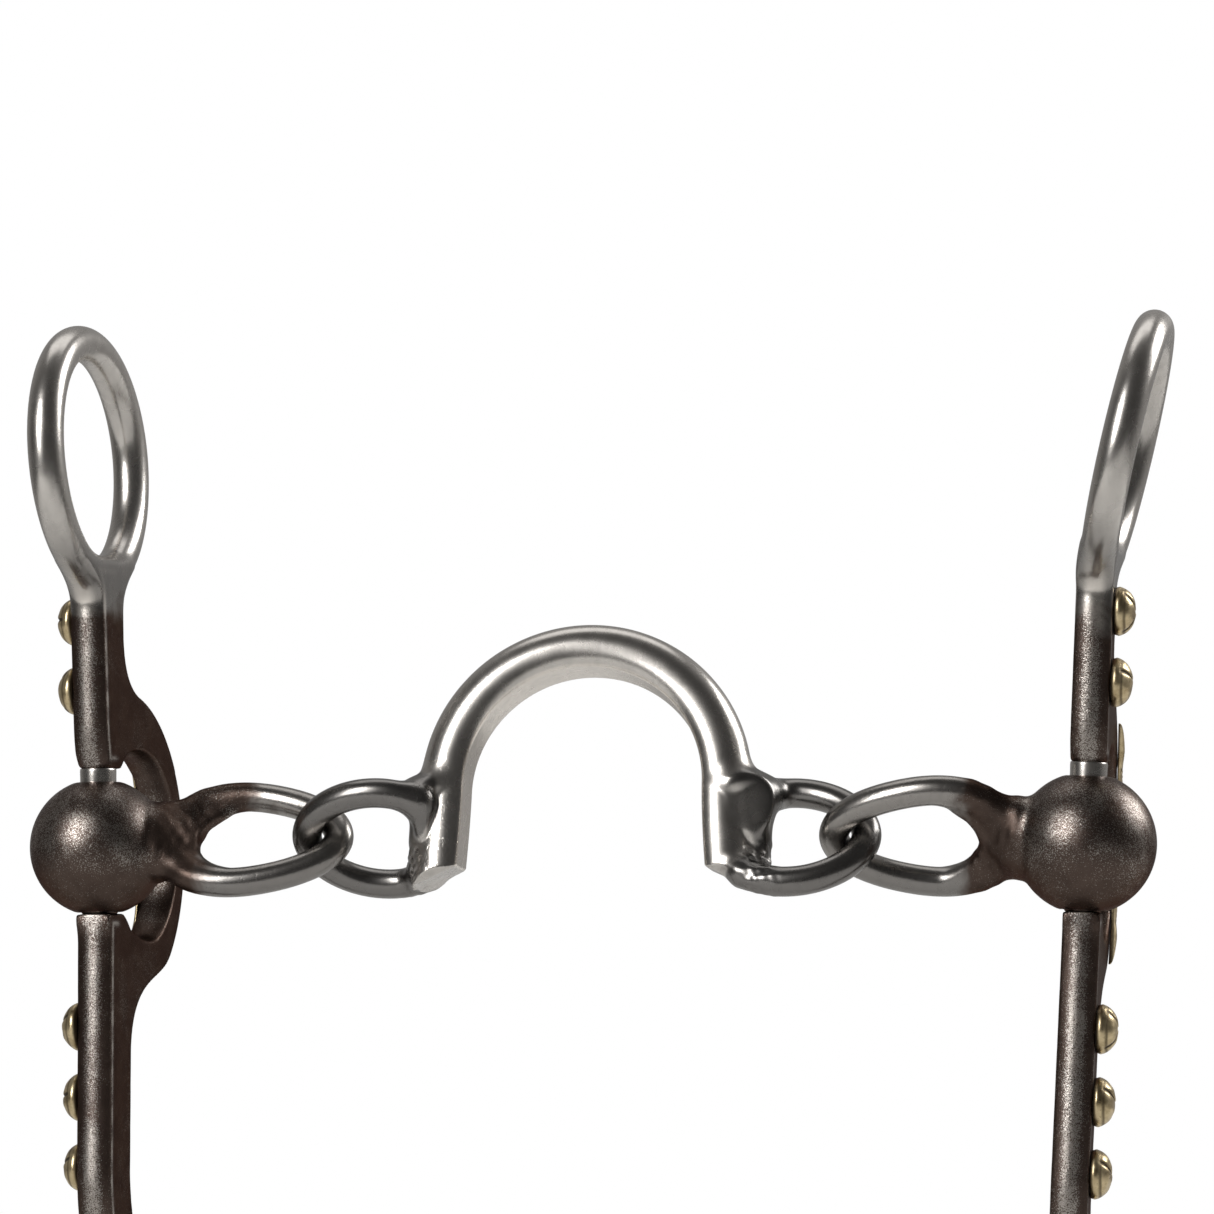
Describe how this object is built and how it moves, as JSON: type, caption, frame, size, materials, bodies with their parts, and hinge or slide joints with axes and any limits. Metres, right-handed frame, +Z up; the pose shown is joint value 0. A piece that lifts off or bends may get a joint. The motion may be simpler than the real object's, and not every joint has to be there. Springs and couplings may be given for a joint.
{
  "type": "curb bit",
  "caption": "Western loose-cheek curb bit: an arched port linked by short chain loops to hinge balls that swivel on the studded cheeks, with headstall and rein rings.",
  "frame": {"origin": "middle of the mouthpiece, level with the centres of the two hinge balls", "axes": "+X to the right cheek, +Y from the smooth edge of the cheeks towards their crescents, +Z up the cheeks to the headstall rings"},
  "size_m": [0.1626, 0.0505, 0.2156],
  "materials": {
    "satin_steel": "satin, lightly brushed",
    "dark_steel": "satin, darkened",
    "browned_steel": "browned, rubbed brighter on the edges",
    "antique_brass": "antiqued, engraved"
  },
  "bodies": {
    "mouthpiece": {"port_bar": "satin_steel", "left_port_loop": "dark_steel", "right_port_loop": "dark_steel"},
    "left_link": {"left_ball": "browned_steel", "left_ball_loop": "dark_steel"},
    "left_cheek_assembly": {"left_cheek_plate": "browned_steel", "left_headstall_ring": "satin_steel", "left_hinge_pin": "satin_steel", "left_crescent_overlay": "antique_brass", "left_stud_1": "antique_brass", "left_stud_2": "antique_brass", "left_stud_3": "antique_brass", "left_stud_4": "antique_brass", "left_stud_5": "antique_brass", "left_stud_6": "antique_brass", "left_stud_7": "antique_brass"},
    "left_rein": {"left_rein_ring": "satin_steel"},
    "right_link": {"right_ball": "browned_steel", "right_ball_loop": "dark_steel"},
    "right_cheek_assembly": {"right_cheek_plate": "browned_steel", "right_headstall_ring": "satin_steel", "right_hinge_pin": "satin_steel", "right_crescent_overlay": "antique_brass", "right_stud_1": "antique_brass", "right_stud_2": "antique_brass", "right_stud_3": "antique_brass", "right_stud_4": "antique_brass", "right_stud_5": "antique_brass", "right_stud_6": "antique_brass", "right_stud_7": "antique_brass"},
    "right_rein": {"right_rein_ring": "satin_steel"}
  },
  "joints": [
    {"name": "left_link_hinge", "type": "hinge", "parent": "mouthpiece", "child": "left_link", "pos_m": [-0.03926, 0, 0.001], "axis": [0, -0.6428, 0.766], "range_deg": [-25, 25]},
    {"name": "left_cheek_hinge", "type": "hinge", "parent": "left_link", "child": "left_cheek_assembly", "pos_m": [-0.06876, 0, 0], "axis": [-0.0192, 0, 0.9998], "range_deg": [-38.5, 51.5]},
    {"name": "left_rein_hinge", "type": "hinge", "parent": "left_cheek_assembly", "child": "left_rein", "pos_m": [-0.06398, 0.02388, -0.10722], "axis": [0.9934, -0.1132, 0.0191], "range_deg": [-80, 80]},
    {"name": "right_link_hinge", "type": "hinge", "parent": "mouthpiece", "child": "right_link", "pos_m": [0.03795, 0, 0.001], "axis": [0, 0.6428, 0.766], "range_deg": [-25, 25]},
    {"name": "right_cheek_hinge", "type": "hinge", "parent": "right_link", "child": "right_cheek_assembly", "pos_m": [0.06745, 0, 0], "axis": [0.0489, 0, 0.9988], "range_deg": [-45.7, 44.3]},
    {"name": "right_rein_hinge", "type": "hinge", "parent": "right_cheek_assembly", "child": "right_rein", "pos_m": [0.06191, 0.02404, -0.10715], "axis": [0.9987, 0.0122, -0.0488], "range_deg": [-80, 80]}
  ]
}
